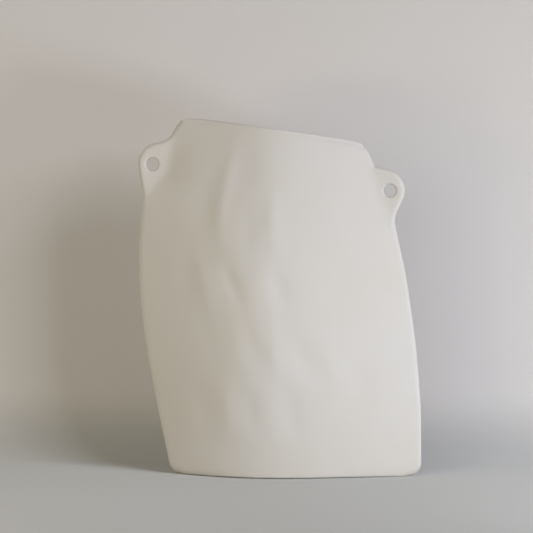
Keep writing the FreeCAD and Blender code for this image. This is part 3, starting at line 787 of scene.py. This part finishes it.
def lug_net(lug, border, hole_rings, places):
    """Points and triangles of a lug's face, between its border and its hole."""
    loops = []
    first = 0
    for line in (border, *hole_rings):
        loops += [(first + i, first + (i + 1) % len(line)) for i in range(len(line))]
        first += len(line)
    places = [Vector(place) for place in np.concatenate([border, *hole_rings, places])]
    made = geometry.delaunay_2d_cdt(places, loops, [], 0, TOUCH)
    points = np.array([tuple(point) for point in made[0]])
    corners = np.array(made[2])
    middles = points[corners].mean(axis=1)
    outside_hole = np.hypot(*(middles - lug.hole).T) > lug.sizes.hole * HOLE_SHARE
    return points, corners[inside_line(middles, border) & outside_hole]


def make_lug(form, side, name, node, material):
    """A pierced lug as a closed piece, flowing into the walls at its root."""
    lug = form.lugs[side]
    sizes = lug.sizes
    ranks = form.ranks
    held = ranks[(ranks >= lug.low_rank - TOUCH) & (ranks <= lug.top_rank + TOUCH)]
    root = form.edges(held, form.seams)[side]
    border = np.concatenate([lug.path, root[::-1][1:-1]])
    turns = np.arange(HOLE_POINTS) * math.tau / HOLE_POINTS
    spokes = np.stack([np.cos(turns), np.sin(turns)], axis=1)
    insets = sizes.hole_edge * EDGE_INSETS
    hole_rings = [lug.hole + spokes * (sizes.hole + inset) for inset in insets]
    points, corners = lug_net(lug, border, hole_rings, lug_places(lug, border, root))
    gaps = gap_to(points, form.outlines[side])
    on_path = gap_to(points, lug.path) < ROUNDING
    from_hole = np.hypot(*(points - lug.hole).T) - sizes.hole
    hole_drop = sizes.hole_edge * (1 - quarter_round(from_hole, sizes.hole_edge))
    bm = bmesh.new()
    bm.faces.layers.int.new("joint")
    hole_ends = []
    for facing, marks in ((-1, FRONT_PRESS_SHARES), (1, BACK_PRESS_SHARES)):
        depths = form.skin_depth(points, marks, gaps) - hole_drop
        depths[on_path] = 0
        verts = [bm.verts.new(point) for point in in_space(points, facing * depths)]
        for triangle in corners:
            bm.faces.new([verts[corner] for corner in triangle])
        depth = form.skin_depth(hole_rings[0], marks, gap_to(hole_rings[0], lug.path))
        hole_ends.append(in_space(hole_rings[0], facing * (depth - sizes.hole_edge)))
        depth = form.skin_depth(root, marks, gap_to(root, form.outlines[side]))
        depth[[0, -1]] = 0
        add_net(bm, [in_space(root, facing * depth), in_space(root, 0 * depth)], joint=True)
    front, back = [np.concatenate([ring, ring[:1]]) for ring in hole_ends]
    add_net(bm, [front + (back - front) * share for share in np.linspace(0, 1, EDGE_STEPS)])
    return finish_piece(bm, name, node, material)


def read_all(items, name, kind, width=1):
    """One value of every item of a mesh, as an array."""
    values = np.empty(len(items) * width, dtype=kind)
    items.foreach_get(name, values)
    return values.reshape(-1, width) if width > 1 else values


def face_corners(mesh):
    """For the corners of all faces: places, face normals, angles, and which are hidden."""
    points = read_all(mesh.vertices, "co", float, 3)
    corners = read_all(mesh.loops, "vertex_index", int)
    starts = read_all(mesh.polygons, "loop_start", int)
    counts = read_all(mesh.polygons, "loop_total", int)
    normals = read_all(mesh.polygons, "normal", float, 3)
    joint = read_all(mesh.attributes["joint"].data, "value", int)
    face_of = np.repeat(np.arange(len(starts)), counts)
    first, total = starts[face_of], counts[face_of]
    turn = np.arange(len(corners)) - first
    here = points[corners]
    after = points[corners[first + (turn + 1) % total]] - here
    before = points[corners[first + (turn - 1) % total]] - here
    cosine = (after * before).sum(axis=1)
    cosine /= np.maximum(np.linalg.norm(after, axis=1) * np.linalg.norm(before, axis=1), TOUCH**2)
    return here, normals[face_of], np.arccos(np.clip(cosine, -1, 1)), joint[face_of] == 1


def smooth_joins(pieces):
    """Gives the skins of all pieces common normals where they meet, so that no joint shows: the
    potter wiped slip over every one. Faces hidden in a joint stay flat."""
    tables = [face_corners(piece.data) for piece in pieces]
    here, flat, angle, hidden = [np.concatenate(column) for column in zip(*tables)]
    cells = np.round(here / WELD).astype(np.int64)
    keys = np.unique(cells, axis=0, return_inverse=True)[1].reshape(-1)
    summed = np.zeros((keys.max() + 1, 3))
    np.add.at(summed, keys[~hidden], flat[~hidden] * angle[~hidden, None])
    shared = summed[keys]
    shared /= np.maximum(np.linalg.norm(shared, axis=1), TOUCH)[:, None]
    shared[hidden] = flat[hidden]
    first = 0
    for piece, table in zip(pieces, tables):
        last = first + len(table[0])
        piece.data.normals_split_custom_set(shared[first:last].tolist())
        first = last


def add_node(tree, kind, settings=None, links=None):
    """A shader node of a kind, with its settings and links into its sockets. Sockets that share a
    name go by their number."""
    node = tree.nodes.new("ShaderNode" + kind)
    for name, value in (settings or {}).items():
        if isinstance(name, int) or name in node.inputs:
            node.inputs[name].default_value = value
        else:
            setattr(node, name, value)
    for socket, source in (links or {}).items():
        tree.links.new(source, node.inputs[socket])
    return node


def new_material(name):
    material = bpy.data.materials.new(name)
    material.use_nodes = True
    material.node_tree.nodes.clear()
    return material


def bisque_clay(look):
    """Unglazed white clay, fired and wiped with a damp sponge: dry and matte all over, a very fine
    grain, broad faint patches of a warmer tone, and a few pinholes where air came out, painted
    darker as painted shade in the pits."""
    material = new_material("bisque_sponged_white_clay")
    tree = material.node_tree
    place = add_node(tree, "TexCoord").outputs["Object"]
    patches = add_node(
        tree,
        "TexNoise",
        {"Scale": 1 / look.flush, "Detail": 2.0, "Roughness": 0.45},
        {"Vector": place},
    )
    tone = add_node(
        tree,
        "Mix",
        {"data_type": "RGBA", 6: (*look.clay, 1), 7: (*look.flushed, 1)},
        {"Factor": patches.outputs["Fac"]},
    )
    pinholes = add_node(tree, "TexVoronoi", {"Scale": 1 / look.pinhole_spacing}, {"Vector": place})
    whole = add_node(
        tree,
        "MapRange",
        {"From Max": look.pinhole / look.pinhole_spacing},
        {"Value": pinholes.outputs["Distance"]},
    )
    # Pinholes painted darker than the clay: painted shade in the pits
    shaded = add_node(
        tree,
        "Mix",
        {"data_type": "RGBA", 6: (*[PINHOLE_PAINTED_SHADE * part for part in look.clay], 1)},
        {"Factor": whole.outputs["Result"], 7: tone.outputs[2]},
    )
    pits = add_node(
        tree,
        "Bump",
        {"Strength": PINHOLE_STRENGTH, "Distance": look.pinhole},
        {"Height": whole.outputs["Result"]},
    )
    grain = add_node(
        tree,
        "TexNoise",
        {"Scale": 1 / look.grain, "Detail": 3.0, "Roughness": 0.6},
        {"Vector": place},
    )
    bump = add_node(
        tree,
        "Bump",
        {"Strength": GRAIN_STRENGTH, "Distance": GRAIN_DEPTH},
        {"Height": grain.outputs["Fac"], "Normal": pits.outputs["Normal"]},
    )
    rough = add_node(
        tree,
        "MapRange",
        {"To Min": CLAY_ROUGHNESS[0], "To Max": CLAY_ROUGHNESS[1]},
        {"Value": grain.outputs["Fac"]},
    )
    shader = add_node(
        tree,
        "BsdfPrincipled",
        {"IOR": CLAY_IOR},
        {
            "Base Color": shaded.outputs[2],
            "Roughness": rough.outputs["Result"],
            "Normal": bump.outputs["Normal"],
        },
    )
    add_node(tree, "OutputMaterial", links={"Surface": shader.outputs["BSDF"]})
    return material


def backdrop_with_painted_shade(look):
    """Matte floor and wall, even and dull; the floor is painted a darker, cooler grey than the
    wall, and the paint turns from the one to the other up the bend: painted shade for the lesser
    light low down. From behind it lets camera and light through, so that the vase's back can be
    looked at."""
    material = new_material("matte_backdrop_painted_shade")
    tree = material.node_tree
    place = add_node(tree, "NewGeometry")
    height = add_node(tree, "SeparateXYZ", links={"Vector": place.outputs["Position"]})
    # The tone turns from the floor's to the wall's up the bend: painted shade, darker low down
    rise = add_node(
        tree,
        "MapRange",
        {"From Min": PAINTED_SHADE_FULL_HEIGHT, "From Max": PAINTED_SHADE_END_HEIGHT, "interpolation_type": "SMOOTHSTEP"},
        {"Value": height.outputs["Z"]},
    )
    tone = add_node(
        tree,
        "Mix",
        {"data_type": "RGBA", 6: (*look.floor, 1), 7: (*look.backdrop, 1)},
        {"Factor": rise.outputs["Result"]},
    )
    colour_in = {"Color": tone.outputs[2]}
    paint = add_node(tree, "BsdfDiffuse", {"Roughness": PAINT_ROUGHNESS}, colour_in)
    clear = add_node(tree, "BsdfTransparent")
    ray = add_node(tree, "LightPath")
    passing = add_node(
        tree,
        "Math",
        {"operation": "MAXIMUM"},
        {0: ray.outputs["Is Camera Ray"], 1: ray.outputs["Is Shadow Ray"]},
    )
    behind = add_node(
        tree,
        "Math",
        {"operation": "MULTIPLY"},
        {0: passing.outputs[0], 1: place.outputs["Backfacing"]},
    )
    mixed = add_node(
        tree,
        "MixShader",
        links={0: behind.outputs[0], 1: paint.outputs["BSDF"], 2: clear.outputs["BSDF"]},
    )
    add_node(tree, "OutputMaterial", links={"Surface": mixed.outputs["Shader"]})
    return material


def make_sheet(name, profile, material):
    """A wide sheet whose section is a line of places seen from the side."""
    bm = bmesh.new()
    add_net(bm, [np.array([(x, y, z) for x in (-STAGE_REACH, STAGE_REACH)]) for y, z in profile])
    make_object(bm, name, material)


def make_backdrop(look):
    """The floor, and a sheet that lies on it and bends up into a wall behind the vase."""
    wall, bend = look.wall_distance, look.bend
    paint = backdrop_with_painted_shade(look)
    make_sheet("floor", [(-STAGE_REACH, -SHEET), (STAGE_REACH, -SHEET)], paint)
    turns = np.linspace(0, math.pi / 2, BEND_STEPS)
    profile = [(-STAGE_REACH, 0.0), (-wall, 0.0)]
    profile += [(wall - bend + bend * math.sin(a), bend - bend * math.cos(a)) for a in turns]
    profile += [(wall, WALL_ROW), (wall, STAGE_REACH)]
    make_sheet("backdrop", profile, paint)


def make_lamp(name, azimuth, elevation, distance, width, height, power, target, code):
    """A soft box that shines on a place from that many degrees to the right of the front."""
    lamp = bpy.data.lights.new(name, "AREA")
    lamp.shape = "RECTANGLE"
    lamp.size = width
    lamp.size_y = height
    lamp.energy = power
    lamp.color = linear(code)
    azimuth, elevation = math.radians(azimuth), math.radians(elevation)
    level = math.cos(elevation)
    way = Vector((math.sin(azimuth) * level, -math.cos(azimuth) * level, math.sin(elevation)))
    piece = place_object(name, lamp)
    piece.location = Vector(target) + way * distance
    piece.rotation_euler = way.to_track_quat("Z", "Y").to_euler()


def make_room():
    """A weak light from all round, and the plain tone that stands behind everything."""
    world = bpy.data.worlds.new("room")
    world.use_nodes = True
    tree = world.node_tree
    tree.nodes.clear()
    light, seen = [
        add_node(tree, "Background", {"Color": (*linear(code), 1), "Strength": strength})
        for code, strength in ((ROOM_LIGHT, ROOM_STRENGTH), (ROOM_TONE, 1.0))
    ]
    ray = add_node(tree, "LightPath")
    direct = ray.outputs["Is Camera Ray"]
    for kind in ("Is Glossy Ray", "Is Transmission Ray"):
        links = {0: direct, 1: ray.outputs[kind]}
        direct = add_node(tree, "Math", {"operation": "MAXIMUM"}, links).outputs[0]
    mixed = add_node(tree, "MixShader", links={0: direct, 1: light.outputs[0], 2: seen.outputs[0]})
    add_node(tree, "OutputWorld", links={"Surface": mixed.outputs["Shader"]})
    bpy.context.scene.world = world


def make_camera():
    """At the photograph's viewing angle: a little from the right, just above the shoulders."""
    camera = bpy.data.cameras.new("camera")
    camera.lens = CAMERA_REACH * camera.sensor_width
    piece = place_object("camera", camera)
    piece.location = CAMERA_PLACE
    piece.rotation_euler = (CAMERA_PLACE - CAMERA_TARGET).to_track_quat("Z", "Y").to_euler()
    return piece


def clay_material(context):
    name = "bisque_sponged_white_clay"
    return bpy.data.materials.get(name) or bisque_clay(context.scene.vase_clay)


def vase_form(context):
    return Form(context.scene.vase_sizes, context.scene.vase_lugs)


class VASE_OT_walls(bpy.types.Operator):
    """Make the front and the back slab, pinched together along the side seams"""

    bl_idname = "vase.walls"
    bl_label = "Walls"

    def execute(self, context):
        form = vase_form(context)
        clay = clay_material(context)
        make_wall(form, -1, FRONT_PRESS_SHARES, "front_wall", "front_slab", clay)
        make_wall(form, 1, BACK_PRESS_SHARES, "back_wall", "back_slab", clay)
        return {"FINISHED"}


class VASE_OT_base(bpy.types.Operator):
    """Make the base slab between the walls"""

    bl_idname = "vase.base"
    bl_label = "Base"

    def execute(self, context):
        make_base(vase_form(context), "base", "base_slab", clay_material(context))
        return {"FINISHED"}


class VASE_OT_lugs(bpy.types.Operator):
    """Make the two pierced lugs on the shoulders"""

    bl_idname = "vase.lugs"
    bl_label = "Lugs"

    def execute(self, context):
        form = vase_form(context)
        clay = clay_material(context)
        make_lug(form, 0, "left_ear", "left_lug", clay)
        make_lug(form, 1, "right_ear", "right_lug", clay)
        return {"FINISHED"}


class VASE_OT_smooth_joins(bpy.types.Operator):
    """Wipe slip over the joins, so that the pieces look like one"""

    bl_idname = "vase.smooth_joins"
    bl_label = "Smooth joins"

    def execute(self, context):
        names = ("front_wall", "back_wall", "left_ear", "right_ear")
        smooth_joins([bpy.data.objects[name] for name in names])
        return {"FINISHED"}


class VASE_OT_stage(bpy.types.Operator):
    """Set the floor, the wall, the light and the camera"""

    bl_idname = "vase.stage"
    bl_label = "Stage"

    def execute(self, context):
        scene = context.scene
        make_backdrop(scene.vase_stage)
        for lamp in LAMPS:
            make_lamp(*lamp)
        make_room()
        scene.camera = make_camera()
        scene.view_settings.view_transform = "Standard"
        return {"FINISHED"}


class VASE_PT_panel(bpy.types.Panel):
    """Lists the steps that build the vase, with the sizes and colours that can be changed"""

    bl_idname = "VASE_PT_panel"
    bl_label = "Pillow Vase"
    bl_space_type = "VIEW_3D"
    bl_region_type = "UI"
    bl_category = "Pillow Vase"

    def draw(self, context):
        layout = self.layout
        for step in STEPS:
            layout.operator(step.bl_idname)
        for name in GROUPS:
            box = layout.box()
            group = getattr(context.scene, name)
            for prop in group.__annotations__:
                box.prop(group, prop)


STEPS = (VASE_OT_walls, VASE_OT_base, VASE_OT_lugs, VASE_OT_smooth_joins, VASE_OT_stage)
GROUPS = {
    "vase_sizes": VaseSizes,
    "vase_lugs": LugSizes,
    "vase_clay": ClayLook,
    "vase_stage": StageLook,
}


def register():
    for kind in (*GROUPS.values(), *STEPS, VASE_PT_panel):
        bpy.utils.register_class(kind)
    for name, kind in GROUPS.items():
        setattr(bpy.types.Scene, name, PointerProperty(type=kind))


def unregister():
    for name in GROUPS:
        delattr(bpy.types.Scene, name)
    for kind in (VASE_PT_panel, *reversed(STEPS), *GROUPS.values()):
        bpy.utils.unregister_class(kind)


def main():
    register()
    bpy.ops.vase.walls()
    bpy.ops.vase.base()
    bpy.ops.vase.lugs()
    bpy.ops.vase.smooth_joins()
    bpy.ops.vase.stage()


if __name__ == "__main__":
    main()
